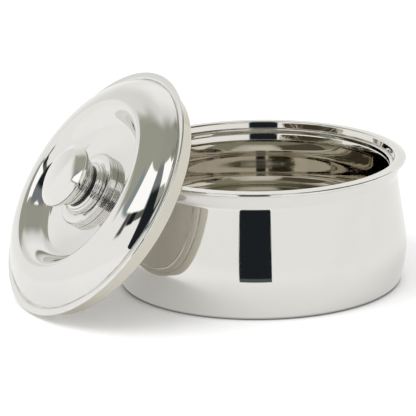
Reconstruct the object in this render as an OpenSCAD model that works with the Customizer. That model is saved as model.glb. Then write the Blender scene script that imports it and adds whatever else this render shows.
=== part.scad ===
// Insulated chapati casserole: a double-walled steel pot with foam between its
// walls, and a loose insulated lid with a turned knob. The lid is off the pot and
// leans on its lip, with the lower edge of its plug on the table.
// Millimetres, +Z up. The origin is on the pot's axis, on the table. The lid leans
// on the -X side. Its own parts are drawn upright, in radius and height above the
// band under its plug, and lid_place() then leans them.

/* [Pot] */
// Outside diameter across the rolled lip
lip_d = 210; // [190:1:240]
// Height of the pot, from the table to the crest of the lip
pot_h = 92; // [80:1:120]
// How far the belly stands out past the lip
belly_out = 0.4; // [-3:0.1:13]
// Height of the widest part of the belly
belly_z = 28; // [20:1:34]
// How far the neck is drawn in from the lip
neck_in = 5.9; // [5:0.05:7.2]
// How far the neck lies below the crest of the lip
neck_drop = 14.5; // [9:0.5:16]
// Diameter of the flat bottom
base_d = 195; // [170:1:202]
// Radius of the corner round the flat bottom
base_corner = 4; // [1.5:0.25:6]
// Thickness of the steel sheet of the pot
sheet = 0.6; // [0.4:0.05:0.7]
// Outside diameter of the rolled edge of the lip, measured across the roll
bead_d = 2.5; // [2.3:0.1:3.2]

/* [Mouth] */
// Width of the lip, from its edge in to the recess that takes the flange of the lid
recess_in = 8.7; // [8.6:0.05:9.5]
// Depth of the ledge below the crest of the lip
ledge_drop = 5.6; // [4.6:0.1:7]
// Width of the ledge that the lid rests on
ledge_w = 3.3; // [2.9:0.1:3.6]
// How far the collar below the ledge stands in from the ledge's edge
collar_in = 0.4; // [0.1:0.1:3]
// Depth of the collar's lower edge below the crest of the lip
collar_drop = 13; // [11:0.25:18]
// How far the bowl widens again under the collar
bowl_flare = 1.6; // [0.8:0.1:2.2]

/* [Bowl] */
// Thickness of the bottom, from the table to the floor of the bowl
floor_z = 14; // [9:0.5:22]
// Radius of the corner between floor and wall of the bowl
bowl_corner = 26; // [15:1:36]
// How much the wall of the bowl draws in from the collar to its corner
bowl_draft = 2.4; // [0.5:0.1:5]

/* [Filling plug] */
// Distance of the foam filling hole from the pot's axis
plug_x = 40; // [20:1:60]
// Diameter of the pressed well that keeps the plug off the table
well_d = 20; // [17:1:26]
// Depth of the pressed well
well_depth = 2; // [1.6:0.1:3]
// Diameter of the filling hole
fill_hole_d = 10; // [8:0.5:12]

/* [Lid] */
// Clearance between the lid's flange and the recess, all round
flange_gap = 1.5; // [1:0.1:1.8]
// Clearance between the lid's plug and the collar, all round
plug_gap = 4; // [3:0.1:7]
// Height of the flange's seat above the band under the plug
seat_h = 12.5; // [9:0.25:20]
// Thickness of the steel sheet of the lid
lid_sheet = 0.5; // [0.4:0.05:0.6]
// Diameter of the crest of the raised ring
crest_d = 130; // [116:1:140]
// Height of the crest above the top of the flange
crest_rise = 14.9; // [10:0.1:20]
// Diameter of the level floor of the dish round the knob
dish_d = 96; // [70:1:98]
// Depth of the dish below the crest
dish_depth = 14.4; // [8:0.1:15]
// Diameter of the panel pressed into the underside
panel_d = 134; // [80:1:150]
// How far that panel is pressed in
panel_in = 1.7; // [0.5:0.1:3]
// Radius of the corner at the bottom of the plug
plug_corner = 2; // [1:0.25:4]

/* [Knob] */
// Diameter of the knob's foot on the dish
foot_d = 55.2; // [46:0.2:62]
// Height of the foot
foot_h = 6.2; // [4.6:0.1:9]
// Depth of each groove turned round the foot
foot_groove = 0.5; // [0.2:0.05:0.8]
// Diameter of the ferrule between the foot and the black spacer
ferrule_d = 38.6; // [36:0.2:42]
// Height of the ferrule
ferrule_h = 4.2; // [3.4:0.1:6]
// Diameter of the black spacer ring
spacer_d = 32; // [28:0.2:33]
// Height of the black spacer ring that shows
spacer_h = 2.4; // [1.4:0.1:4]
// Diameter of the knob's head
head_d = 47.4; // [44:0.2:56]
// Height of the knob's head
head_h = 17.8; // [16:0.1:26]
// Nominal diameter of the threaded stud
stud_d = 5; // [4:0.5:6]
// Size of the nut across its flats
nut_af = 8; // [7:0.5:10]

/* [Pose] */
// How far the lid leans back from upright, in degrees
lean = 34.8; // [30:0.2:42]
// Sideways distance between the lid's centre and the point it leans on
lean_shift = 6.4; // [-15:0.1:15]
// Gap left between the leaning lid and the lip
lean_gap = 0.3; // [0.2:0.05:0.6]

/* [Hidden] */

$fn = 96;
// clearance between pieces that are pressed or seamed together
seam = 0.05;
// slack over which cutting shapes pass a face
cut = 1;

// --- the pot's outer skin, from the axis outward and up ---
lip_r = lip_d / 2;
bead_r = bead_d / 2;
belly_r = lip_r + belly_out;
neck_r = lip_r - neck_in;
neck_z = pot_h - neck_drop;
base_r = base_d / 2;
// the crest of the lip lies this far in from the lip's edge
crest_in = 4.8;
// the roll of the lip lies this far below the crest
bead_drop = 0.65;
bead_z = pot_h - bead_drop - bead_r;
// the direction, from the middle of the roll, in which its sheet ends
roll_end = -120;
corner_turn = 20;
corner_end = [base_r + base_corner * cos(corner_turn), base_corner * (1 - sin(corner_turn))];
belly_pull = (belly_z - corner_end[1]) * 0.34;
neck_span = neck_z - belly_z;
// the shell's flange lies in the roll, under the sheet of the lip
flange_z = bead_z - sheet / 2;
// the wall still leans in by neck_lean where it reaches the neck, turns there over
// turn_h, and runs out to the lip at the angle flare
neck_lean = 5.7;
flare = 19.5;
turn_h = 2.2;
neck_end = [neck_r, neck_z];
turn_end = neck_end + [0.25, turn_h];
flare_run = (flange_z - turn_end[1]) * 0.52;

outer_skin = chain([
    [[0, 0], [base_r, 0]],
    arc([base_r, base_corner], base_corner, -90, -corner_turn, 5),
    bezier(corner_end,
        corner_end + belly_pull * [sin(corner_turn), cos(corner_turn)],
        [belly_r, belly_z - belly_pull], [belly_r, belly_z], 9),
    bezier([belly_r, belly_z], [belly_r, belly_z + neck_span * 0.18],
        neck_end + neck_span * 0.28 * [sin(neck_lean), -cos(neck_lean)], neck_end, 16),
    bezier(neck_end, neck_end + turn_h * 0.36 * [-sin(neck_lean), cos(neck_lean)],
        turn_end - turn_h * 0.36 * [sin(flare), cos(flare)], turn_end, 5),
    bezier(turn_end, turn_end + flare_run * [sin(flare), cos(flare)],
        [lip_r - bead_r - 1.5, flange_z - 0.1], [lip_r - bead_r - 0.3, flange_z], 9)
]);

// --- the bowl's inner skin, from the axis out, up and over the lip ---
recess_r = lip_r - recess_in;
ledge_z = pot_h - ledge_drop;
throat_r = recess_r - ledge_w;
collar_r = throat_r - collar_in;
collar_z = pot_h - collar_drop;
// the small step inside the collar
step_z = ledge_z - (ledge_z - collar_z) * 0.48;
bowl_r = collar_r + bowl_flare;
bowl_top_z = collar_z - 2.4;
bowl_low_r = bowl_r - bowl_draft;
bowl_floor_r = bowl_low_r - bowl_corner;
wall_z = floor_z + bowl_corner;
lip_crest = [lip_r - crest_in, pot_h];
lip_start = [recess_r, pot_h - 1.3];

bowl_skin = chain([
    [[0, floor_z], [bowl_floor_r, floor_z]],
    arc([bowl_floor_r, wall_z], bowl_corner, -90, 0, 10),
    bezier([bowl_low_r, wall_z], [bowl_low_r, wall_z + 14],
        [bowl_r, bowl_top_z - 12], [bowl_r, bowl_top_z], 6),
    bezier([bowl_r, bowl_top_z], [bowl_r, bowl_top_z + 1.3],
        [collar_r, collar_z - 1.3], [collar_r, collar_z], 6),
    [[collar_r, collar_z], [collar_r, step_z - 0.5], [throat_r, step_z + 0.5],
        [throat_r, ledge_z], [recess_r - 0.5, ledge_z], [recess_r, ledge_z + 0.5], lip_start],
    bezier(lip_start, [recess_r, pot_h - 0.3], [lip_crest[0] - 2.4, pot_h], lip_crest, 6),
    bezier(lip_crest, lip_crest + [1.3, 0], [lip_r - bead_r - 0.8, bead_z + bead_r + 0.12],
        [lip_r - bead_r, bead_z + bead_r], 4),
    arc([lip_r - bead_r, bead_z], bead_r, 90, roll_end, 12)
]);

// --- the lid's top skin, from the stud hole outward ---
hem_h = 3 * lid_sheet + 2 * seam;
flange_r = recess_r - flange_gap;
flange_top = seat_h + hem_h;
hem_r = hem_h / 2;
plug_r = collar_r - plug_gap;
crest_r = crest_d / 2;
crest_h = flange_top + crest_rise;
dish_r = dish_d / 2;
dish_h = crest_h - dish_depth;
foot_r = foot_d / 2;
stud_r = stud_d / 2;
stud_hole_r = stud_r + 0.25;
// the dish is level under the knob and rises a little towards its wall
dish_rise = 0.9;
dish_edge = [dish_r, dish_h + dish_rise];
// the wall of the dish leans outward as it rises
wall_run = crest_r - dish_r;
// the pressed groove between the raised ring and the rim of the lid
groove_r = flange_r - 5.3;

lid_rise = chain([
    [[stud_hole_r, dish_h], [foot_r + 1, dish_h]],
    bezier([foot_r + 1, dish_h], [foot_r + 8, dish_h],
        dish_edge - [7, 0.5], dish_edge, 5),
    bezier(dish_edge, dish_edge + [wall_run * 0.46, dish_depth * 0.06],
        [crest_r - wall_run * 0.42, crest_h], [crest_r, crest_h], 14),
    bezier([crest_r, crest_h], [crest_r + 9, crest_h],
        [groove_r - 5.6, flange_top + crest_rise * 0.62], [groove_r - 0.6, flange_top + 0.2], 16),
    [[groove_r - 0.6, flange_top + 0.2], [groove_r, flange_top - 0.4],
        [groove_r + 0.7, flange_top], [flange_r - hem_r, flange_top]]
]);
lid_skin = chain([
    lid_rise,
    arc([flange_r - hem_r, flange_top - hem_r], hem_r, 90, -90, 10),
    [[flange_r - hem_r, seat_h], [flange_r - hem_r - 1.2, seat_h]]
]);

// --- the lid's underside, from the axis outward ---
panel_r = panel_d / 2;
pan_flange_h = seat_h + lid_sheet + seam;
pan_draft = 0.6;

pan_skin = chain([
    [[0, panel_in], [panel_r, panel_in]],
    bezier([panel_r, panel_in], [panel_r + 1.2, panel_in], [panel_r + 1.2, 0],
        [panel_r + 2.6, 0], 5),
    [[panel_r + 2.6, 0], [plug_r - plug_corner, 0]],
    arc([plug_r - plug_corner, plug_corner], plug_corner, -90, 0, 6),
    [[plug_r, plug_corner], [plug_r + pan_draft, pan_flange_h - 1.5],
        [plug_r + pan_draft + 0.6, pan_flange_h - 0.4],
        [plug_r + pan_draft + 1.6, pan_flange_h],
        [flange_r - 2 * hem_r + 0.5, pan_flange_h]]
]);

// --- the knob, stacked on the dish ---
foot_top = dish_h + foot_h;
ferrule_top = foot_top + ferrule_h;
spacer_top = ferrule_top + spacer_h;
head_top = spacer_top + head_h;
ferrule_r = ferrule_d / 2;
spacer_r = spacer_d / 2;
head_r = head_d / 2;
knob_sheet = 0.8;
// the core of the spacer reaches up inside the cup
core_r = spacer_r - 2.6;
core_top = spacer_top + 9;
cap_z = head_top - 4.6;
washer_h = 1;
nut_h = nut_af / 2;
washer_top = dish_h - lid_sheet - seam;
nut_top = washer_top - washer_h;
stud_low = nut_top - nut_h - 1;
stud_top = core_top - 1.5;

// --- where the leaning lid stands ---
// the lid's axis points out by n_out and up by n_up; the plug's corner rests on the
// table, or the hem does where it is lower, and the panel rests on the roll of the lip
n_out = cos(lean);
n_up = sin(lean);
lid_z = max(plug_corner + (plug_r - plug_corner) * n_out - plug_corner * n_up,
    hem_r + (flange_r - hem_r) * n_out - (seat_h + hem_r) * n_up);
lip_reach = (lip_r - bead_r) * n_out + bead_z * n_up + bead_r;
lid_x = (lip_reach + lean_gap - panel_in - lid_z * n_up) / n_out;

// points along an arc about c, from angle a0 to a1
function arc(c, r, a0, a1, n) =
    [for (i = [0:n]) let (a = a0 + (a1 - a0) * i / n) c + r * [cos(a), sin(a)]];

// points along a cubic curve with end points p0 and p3
function bezier(p0, p1, p2, p3, n) =
    [for (i = [0:n]) let (t = i / n, u = 1 - t)
        u * u * u * p0 + 3 * u * u * t * p1 + 3 * u * t * t * p2 + t * t * t * p3];

// stretches joined end to end, each without the point it shares with the last
function chain(parts) =
    [for (k = [0:len(parts) - 1]) for (i = [(k == 0 ? 0 : 1):len(parts[k]) - 1]) parts[k][i]];

function unit(v) = v / norm(v);
function left(v) = [-v[1], v[0]];

// the path moved sideways by d, to its left, with mitred corners
function beside(path, d) =
    let (last = len(path) - 1)
    [for (i = [0:last])
        let (a = left(unit(path[max(i, 1)] - path[max(i, 1) - 1])),
            b = left(unit(path[min(i, last - 1) + 1] - path[min(i, last - 1)])))
        path[i] + d * (a + b) / (1 + a * b)];

function backward(path) = [for (i = [len(path) - 1:-1:0]) path[i]];

// a sheet of thickness t turned round the axis, on the left of its path
module turned_sheet(path, t) {
    rotate_extrude()
        polygon(concat(path, backward(beside(path, t))));
}

// a ring turned round the axis, from outline points
module turned(points) {
    rotate_extrude()
        polygon(points);
}

module tube(r, hole_r, z0, z1) {
    difference() {
        translate([0, 0, z0])
            cylinder(r = r, h = z1 - z0);
        translate([0, 0, z0 - cut])
            cylinder(r = hole_r, h = z1 - z0 + 2 * cut);
    }
}

// stands the lid's parts where the leaning lid is
module lid_place() {
    translate([-lid_x, lean_shift, lid_z])
        rotate([0, lean - 90, 0])
            children();
}

// pressed outer wall, with the well for the filling plug in its flat bottom
module outer_shell() {
    color([0.86, 0.86, 0.84])
    difference() {
        union() {
            turned_sheet(outer_skin, sheet);
            translate([plug_x, 0, 0])
                cylinder(d = well_d + 2 * sheet, h = well_depth + sheet);
        }
        translate([plug_x, 0, -cut])
            cylinder(d = well_d, h = well_depth + cut);
        translate([plug_x, 0, 0])
            cylinder(d = fill_hole_d, h = well_depth + sheet + cut);
    }
}

// drawn inner bowl: floor, wall, stepped collar, ledge, recess and rolled lip
module inner_bowl() {
    color([0.8, 0.79, 0.76])
        turned_sheet(bowl_skin, -sheet);
}

// rigid foam that fills the space between the walls
module body_insulation() {
    inset = sheet + seam;
    foam_top = step_z;
    past_wall = 2 * lip_r;
    color([0.93, 0.85, 0.6])
    difference() {
        rotate_extrude()
            difference() {
                intersection() {
                    polygon(concat(beside(outer_skin, inset), [[0, flange_z]]));
                    square([past_wall, foam_top]);
                }
                polygon(concat(beside(bowl_skin, -inset), [[0, bead_z]]));
            }
        translate([plug_x, 0, 0])
            cylinder(d = well_d + 2 * inset, h = well_depth + inset);
        translate([plug_x, 0, 0])
            cylinder(r = plug_stem_r() + plug_barb() + seam, h = plug_stem_top() + seam);
    }
}

function plug_stem_r() = fill_hole_d / 2 - seam;
function plug_barb() = 0.7;
function plug_stem_top() = well_depth + sheet + 4;

// push-in plug that closes the filling hole: flange, stem and barb
module fill_plug() {
    flange_t = 1.2;
    barb_z = well_depth + sheet + seam;
    color([0.2, 0.2, 0.2])
    translate([plug_x, 0, 0])
        turned([[0, well_depth - seam - flange_t], [well_d / 2 - 1, well_depth - seam - flange_t],
            [well_d / 2 - 1, well_depth - seam], [plug_stem_r(), well_depth - seam],
            [plug_stem_r(), barb_z], [plug_stem_r() + plug_barb(), barb_z],
            [plug_stem_r() - 0.6, plug_stem_top()], [0, plug_stem_top()]]);
}

// pressed top of the lid: dish, raised ring, pressed groove and hemmed rim
module lid_top_shell() {
    color([0.88, 0.88, 0.86])
    lid_place()
        turned_sheet(lid_skin, -lid_sheet);
}

// pressed underside of the lid: plug with a set-in panel, and the flange in the hem
module lid_inner_pan() {
    color([0.76, 0.74, 0.68])
    lid_place()
        turned_sheet(pan_skin, lid_sheet);
}

// rigid foam inside the lid, with the pocket of the knob's nut
module lid_insulation() {
    inset = lid_sheet + seam;
    color([0.93, 0.85, 0.6])
    lid_place()
    difference() {
        rotate_extrude()
            intersection() {
                polygon(concat([[0, 0], [0, dish_h - inset]], beside(lid_rise, -inset),
                    [[flange_r - hem_r, 0]]));
                polygon(concat(beside(pan_skin, inset), [[flange_r, crest_h], [0, crest_h]]));
                square([plug_r + pan_draft - inset, crest_h]);
            }
        translate([0, 0, stud_low - 1])
            cylinder(r = nut_af * 0.75, h = dish_h - stud_low + cut);
    }
}

// spun foot of the knob, hollow underneath, with grooves rolled round its edge
module knob_foot() {
    grooves = 3;
    z0 = dish_h + seam;
    edge = 0.9;
    pitch = (foot_h - 2.4 * edge) / grooves;
    seat_r = ferrule_r + 1;
    foot_skin = concat(
        [[foot_r - 0.5, z0], [foot_r, z0 + edge]],
        [for (i = [0:grooves - 1])
            for (p = [[0, 0.12], [foot_groove, 0.36], [foot_groove, 0.6], [0, 0.84]])
                [foot_r - p[0], z0 + edge + (i + p[1]) * pitch]],
        [[foot_r, foot_top - 1.1 * edge], [foot_r - 0.4, foot_top - 0.35], [foot_r - 1.3, foot_top]],
        [[seat_r + 0.9, foot_top], [seat_r, foot_top - 0.6], [stud_hole_r, foot_top - 0.6]]);
    hollow_r = foot_r - foot_groove - knob_sheet;
    hollow_top = foot_top - 0.6 - knob_sheet;
    color([0.85, 0.85, 0.83])
    lid_place()
        turned(concat(foot_skin,
            [[stud_hole_r, hollow_top], [hollow_r - 0.5, hollow_top],
                [hollow_r, hollow_top - 0.5], [hollow_r, z0]]));
}

// spun ferrule that seats the black spacer on the foot, in two rounded steps
module knob_ferrule() {
    z0 = foot_top - 0.6 + seam;
    waist = spacer_r + 0.7;
    step = (ferrule_top - foot_top) * 0.5;
    ferrule_skin = chain([
        [[ferrule_r - 0.2, z0], [ferrule_r, z0 + 0.6]],
        bezier([ferrule_r, z0 + 0.6], [ferrule_r + 0.1, z0 + 1.3],
            [ferrule_r - 0.3, z0 + 0.6 + step], [ferrule_r - 1.2, z0 + 0.6 + step], 4),
        bezier([ferrule_r - 1.2, z0 + 0.6 + step], [ferrule_r - 1, ferrule_top - step * 0.5],
            [waist + 0.7, ferrule_top], [waist, ferrule_top], 4),
        [[waist, ferrule_top], [stud_hole_r, ferrule_top]]
    ]);
    color([0.82, 0.82, 0.8])
    lid_place()
        turned_sheet(ferrule_skin, knob_sheet);
}

// black moulded spacer: a ring that shows, and a core that holds the stud
module knob_spacer() {
    ring_gap = seam;
    color([0.05, 0.05, 0.05])
    lid_place()
        turned([[stud_r, ferrule_top + ring_gap], [spacer_r, ferrule_top + ring_gap],
            [spacer_r, spacer_top - ring_gap], [core_r, spacer_top - ring_gap],
            [core_r, core_top], [stud_r, core_top]]);
}

// the cup swells from the spacer to a crease, then flares to the rim of the head;
// cup and cap each end in a short straight rim, so that they meet square
rim_h = 0.4;
cup_low_r = spacer_r + 0.3;
crease_r = head_r * 0.775;
crease_z = spacer_top + head_h * 0.245;
cup_skin = chain([
    [[core_r + seam, spacer_top], [cup_low_r - 0.5, spacer_top], [cup_low_r, spacer_top + 0.5]],
    bezier([cup_low_r, spacer_top + 0.5], [cup_low_r + 0.9, spacer_top + 1.4],
        [crease_r + 0.3, crease_z - 2], [crease_r, crease_z - 0.4], 6),
    [[crease_r, crease_z - 0.4], [crease_r, crease_z + 0.2]],
    bezier([crease_r, crease_z + 0.2], [crease_r + 1, crease_z + 2.6],
        [head_r, cap_z - 3.6], [head_r, cap_z - rim_h], 8),
    [[head_r, cap_z - rim_h], [head_r, cap_z]]
]);

// pressed lower half of the hollow head
module knob_cup() {
    color([0.84, 0.84, 0.82])
    lid_place()
        turned_sheet(cup_skin, knob_sheet);
}

// pressed cap that closes the head: a slightly domed face inside a sloping shoulder
module knob_cap() {
    low = cap_z + seam;
    face_r = head_r * 0.77;
    dome = 1.2;
    face_z = head_top - dome;
    edge = [head_r - 0.4, low + rim_h + 0.35];
    cap_skin = chain([
        [[0, head_top], [1, head_top]],
        bezier([1, head_top], [face_r / 3, head_top],
            [face_r * 2 / 3, head_top - dome / 3], [face_r, face_z], 6),
        bezier([face_r, face_z], [face_r + 1.8, face_z - 0.86], edge + [-1.6, 0.95], edge, 4),
        [edge, [head_r, low + rim_h], [head_r, low]]
    ]);
    color([0.88, 0.88, 0.86])
    lid_place()
        turned_sheet(cap_skin, -knob_sheet);
}

// threaded stud from the knob's core down through the dish
module knob_stud() {
    color([0.7, 0.7, 0.7])
    lid_place()
        translate([0, 0, stud_low])
            cylinder(r = stud_r - seam, h = stud_top - stud_low);
}

// flat washer under the dish
module knob_washer() {
    color([0.72, 0.72, 0.72])
    lid_place()
        tube(nut_af * 0.75 - seam, stud_r + 0.1, nut_top + seam, washer_top);
}

// hexagon nut that pulls the knob down on the lid
module knob_nut() {
    color([0.68, 0.68, 0.68])
    lid_place()
    difference() {
        translate([0, 0, nut_top - nut_h])
            cylinder(r = nut_af / sqrt(3), h = nut_h, $fn = 6);
        translate([0, 0, nut_top - nut_h - cut])
            cylinder(r = stud_r, h = nut_h + 2 * cut);
    }
}

outer_shell();
inner_bowl();
body_insulation();
fill_plug();
lid_top_shell();
lid_inner_pan();
lid_insulation();
knob_foot();
knob_ferrule();
knob_spacer();
knob_cup();
knob_cap();
knob_stud();
knob_washer();
knob_nut();
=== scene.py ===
# %% [markdown]
# # An insulated casserole in polished steel
# The object is a round pot with two steel walls and foam between them, and a loose
# foam-filled lid that leans on the pot's lip. Almost everything that shows is steel
# sheet, pressed or spun and then polished until it mirrors the room. A lesson about it
# is therefore a lesson about three things: smooth surfaces of revolution, a polished
# finish that isn't perfect, and a studio built out of plain cards for the steel to
# reflect.
#
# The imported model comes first. It is the fixed frame that every piece is made in.

# %% Load the frame
import math

import bmesh
import bpy
from mathutils import Matrix, Vector


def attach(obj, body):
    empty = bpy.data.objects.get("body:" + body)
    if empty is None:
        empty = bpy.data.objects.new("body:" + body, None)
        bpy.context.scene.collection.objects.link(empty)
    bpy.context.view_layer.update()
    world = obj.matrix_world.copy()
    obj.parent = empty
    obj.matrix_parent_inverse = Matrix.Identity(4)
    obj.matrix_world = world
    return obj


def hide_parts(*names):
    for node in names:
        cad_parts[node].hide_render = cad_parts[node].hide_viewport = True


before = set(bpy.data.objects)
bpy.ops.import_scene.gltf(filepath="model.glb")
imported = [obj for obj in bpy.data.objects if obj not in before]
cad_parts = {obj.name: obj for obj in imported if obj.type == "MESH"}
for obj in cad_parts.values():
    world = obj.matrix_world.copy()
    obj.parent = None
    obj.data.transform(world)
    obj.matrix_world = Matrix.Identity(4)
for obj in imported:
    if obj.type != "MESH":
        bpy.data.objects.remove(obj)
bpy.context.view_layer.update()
MM = 0.001

# %% [markdown]
# ## The camera
# The photograph was taken with a long lens, a little above the lip and turned round the
# pot, with the camera tipped by about a degree. These values came from fitting the
# ellipses of the lip and the base. They could be typed into a camera object by hand; a
# matrix built from the three directions is shorter and can't be out of step.

# %% Camera
turn, rise, tip = math.radians(-26.32), math.radians(15.934), math.radians(-0.964)
aim = Vector((-33.38, 16.51, 52.53)) * MM
away = 2050.35 * MM

level_right = Vector((math.cos(turn), math.sin(turn), 0))
level_up = Vector((-math.sin(turn) * math.sin(rise), math.cos(turn) * math.sin(rise), math.cos(rise)))
ahead = level_right.cross(level_up) * -1
right = level_right * math.cos(tip) + level_up * math.sin(tip)
up = level_up * math.cos(tip) - level_right * math.sin(tip)
eye = aim - ahead * away

camera = bpy.data.objects.new("camera", bpy.data.cameras.new("camera"))
bpy.context.scene.collection.objects.link(camera)
camera.data.lens = 246.67
camera.data.clip_end = 50
camera.matrix_world = Matrix((
    (right.x, up.x, -ahead.x, eye.x),
    (right.y, up.y, -ahead.y, eye.y),
    (right.z, up.z, -ahead.z, eye.z),
    (0, 0, 0, 1)))
bpy.context.scene.camera = camera
bpy.context.scene.view_settings.view_transform = "Standard"
print("camera at", [round(v, 3) for v in eye])

# %% [markdown]
# ## Curves to turn
# A pressed or spun piece is one outline turned round an axis. A mirror shows every
# fault in its outline, so the outlines here are chains of arcs and smooth curves with
# close-set points. A subdivided rough outline would also be smooth, but it would drift
# away from the sizes that the pieces have to fit.

# %% Outline helpers, in millimetres of radius and height
def arc(centre, radius, start, end, count):
    steps = [math.radians(start + (end - start) * i / count) for i in range(count + 1)]
    return [(centre[0] + radius * math.cos(a), centre[1] + radius * math.sin(a)) for a in steps]


def curve(p0, p1, p2, p3, count):
    points = []
    for i in range(count + 1):
        t = i / count
        w = ((1 - t) ** 3, 3 * (1 - t) ** 2 * t, 3 * (1 - t) * t * t, t ** 3)
        points.append(tuple(w[0] * a + w[1] * b + w[2] * c + w[3] * d
                            for a, b, c, d in zip(p0, p1, p2, p3)))
    return points


def chain(*stretches):
    path = []
    for stretch in stretches:
        for point in stretch:
            if not path or math.dist(path[-1], point) > 1e-4:
                path.append(tuple(point))
    return path


def soften(corners, radius, count=6):
    """Round each inner corner of an open path, as a press tool does."""
    path = [corners[0]]
    for before, corner, after in zip(corners, corners[1:], corners[2:]):
        a, b = Vector(before) - Vector(corner), Vector(after) - Vector(corner)
        half = a.angle(b) / 2
        reach = min(radius / max(math.tan(half), 0.02), 0.48 * a.length, 0.48 * b.length)
        start, end = Vector(corner) + a.normalized() * reach, Vector(corner) + b.normalized() * reach
        pull_a = start.lerp(Vector(corner), 0.56)
        pull_b = end.lerp(Vector(corner), 0.56)
        path += curve(tuple(start), tuple(pull_a), tuple(pull_b), tuple(end), count)
    return chain(path, [corners[-1]])


def beside(path, distance):
    """The path moved to its left by a distance: the other face of a sheet."""
    moved = []
    for i, point in enumerate(path):
        before, after = path[max(i - 1, 0)], path[min(i + 1, len(path) - 1)]
        into = Vector(point) - Vector(before) if i else Vector(after) - Vector(point)
        out = Vector(after) - Vector(point) if i < len(path) - 1 else into
        a, b = into.normalized().orthogonal(), out.normalized().orthogonal()
        moved.append(tuple(Vector(point) + (a + b) * distance / (1 + a.dot(b))))
    return moved


def sheet_outline(path, thickness):
    """Both faces of a sheet as one closed outline."""
    return list(path) + beside(path, thickness)[::-1]


print("a sheet of", len(soften([(0, 0), (5, 0), (5, 5)], 1)), "points")

# %% [markdown]
# ## Turning an outline
# Blender's spin tool would do, but a piece of mirror steel is easier to keep clean when
# each ring of points is written once. The same loop can store two things that only the
# outline knows: how far along the sheet a point lies, which is where the polishing wheel
# leaves its rings, and how sharply the outline bends there, which is where edges wear and
# where creases get polishing paste and painted shade.
# The knob has the most points round it, because its small rims mirror a whole window.

# %% Turning helper
pot_sides, knob_sides, small_sides = 240, 400, 64


def turned(name, outline, around=pot_sides, closed=True, sharp=38):
    """A surface of revolution from (radius, height) points in millimetres."""
    build = bmesh.new()
    rings = []
    for radius, height in outline:
        if radius < 1e-4:
            rings.append([build.verts.new((0, 0, height * MM))] * around)
        else:
            rings.append([build.verts.new((radius * MM * math.cos(2 * math.pi * k / around),
                                           radius * MM * math.sin(2 * math.pi * k / around),
                                           height * MM)) for k in range(around)])
    pairs = list(zip(rings, rings[1:])) + ([(rings[-1], rings[0])] if closed else [])
    for low, high in pairs:
        for k in range(around):
            corners = [low[k], low[(k + 1) % around], high[(k + 1) % around], high[k]]
            corners = list(dict.fromkeys(corners))
            if len(corners) > 2:
                build.faces.new(corners)
    bmesh.ops.recalc_face_normals(build, faces=build.faces)
    mesh = bpy.data.meshes.new(name)
    order = {vert: i for i, vert in enumerate(build.verts)}
    marks = dict(zip(("along", "edge", "crease"), measure(outline, closed)))
    values = {label: [0.0] * len(order) for label in marks}
    for label, per_ring in marks.items():
        for ring, value in zip(rings, per_ring):
            for vert in ring:
                values[label][order[vert]] = value
    build.to_mesh(mesh)
    build.free()
    for label, per_point in values.items():
        mesh.attributes.new(label, "FLOAT", "POINT").data.foreach_set("value", per_point)
    mesh.shade_smooth()
    mesh.set_sharp_from_angle(angle=math.radians(sharp))
    piece = bpy.data.objects.new(name, mesh)
    bpy.context.scene.collection.objects.link(piece)
    return piece


def measure(outline, closed):
    """At each point: length run so far, and how sharply the outline bulges and dips."""
    run, edge, crease = [0.0], [], []
    for a, b in zip(outline, outline[1:]):
        run.append(run[-1] + math.dist(a, b))
    area = sum(a[0] * b[1] - b[0] * a[1] for a, b in zip(outline, outline[1:] + outline[:1]))
    count = len(outline)
    for i in range(count):
        before, after = outline[i - 1], outline[(i + 1) % count]
        here = outline[i]
        a, b = Vector(here) - Vector(before), Vector(after) - Vector(here)
        bend = 0.0
        if (closed or 0 < i < count - 1) and min(a.length, b.length) > 1e-6:
            bend = math.atan2(a.x * b.y - a.y * b.x, a.dot(b)) * (1 if area > 0 else -1)
            bend *= 2 / (a.length + b.length)
        edge.append(max(0.0, min(1.0, bend)))
        crease.append(max(0.0, min(1.0, -bend)))
    return run, edge, crease


print("points round the pot:", pot_sides, "round the knob:", knob_sides)

# %% [markdown]
# ## Sizes shared by the pieces
# The mouth of the pot, the plug of the lid and the knob are stacked on each other, so
# their sizes are written once, from the same values as the CAD model.

# %% Sizes of the pot, in millimetres
lip_r, bead_r, crest_in = 105.0, 1.25, 4.8
pot_h, belly_r, belly_z = 92.0, 105.36, 28.0
neck_r, neck_z, turn_h = 99.1, 77.5, 2.2
neck_lean, flare = math.radians(5.7), math.radians(19.5)
base_r, base_corner = 97.5, 4.0
wall = 0.6
bead_z = pot_h - 0.65 - bead_r
recess_r, ledge_z = 96.3, 86.4
throat_r, collar_r, collar_z = 93.0, 92.6, 79.0
bowl_r, bowl_low_r, floor_z, bowl_corner = 94.2, 91.8, 14.0, 26.0
print("pot:", 2 * lip_r, "mm across the lip and", pot_h, "mm high")

# %% Sizes of the lid and its knob, above the band under the plug
lid_wall = 0.5
seat_h, hem = 12.5, 1.6
flange_r, flange_top = 94.65, 14.1
plug_r, plug_corner = 88.6, 2.0
crest_r, crest_h, dish_r, dish_h = 65.0, 29.0, 48.0, 14.6
panel_r, panel_in = 67.0, 1.7
foot_r, foot_top = 27.6, 20.8
ferrule_r, ferrule_top = 19.3, 25.0
spacer_r, spacer_top = 16.0, 27.4
head_r, head_top, head_wall = 23.7, 45.2, 0.8
cap_h, stud_hole = head_top - 4.6, 2.8
print("lid:", 2 * flange_r, "mm across and", head_top, "mm high with its knob")

# %% [markdown]
# ## Where the leaning lid stands
# The lid's pieces are turned upright and then leaned all together by one matrix: the
# lid's own plane is tipped back until its panel rests on the lip and the corner of its
# plug on the table.

# %% The lean
lean = math.radians(34.8)
lid_lean = (Matrix.Translation(Vector((-116.17, 6.4, 71.97)) * MM)
            @ Matrix.Rotation(lean - math.pi / 2, 4, "Y"))
print("lid faces", [round(v, 3) for v in lid_lean.to_3x3() @ Vector((0, 0, 1))])


def on_pot(piece, *nodes):
    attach(piece, "pot")
    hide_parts(*nodes)
    return piece


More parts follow.
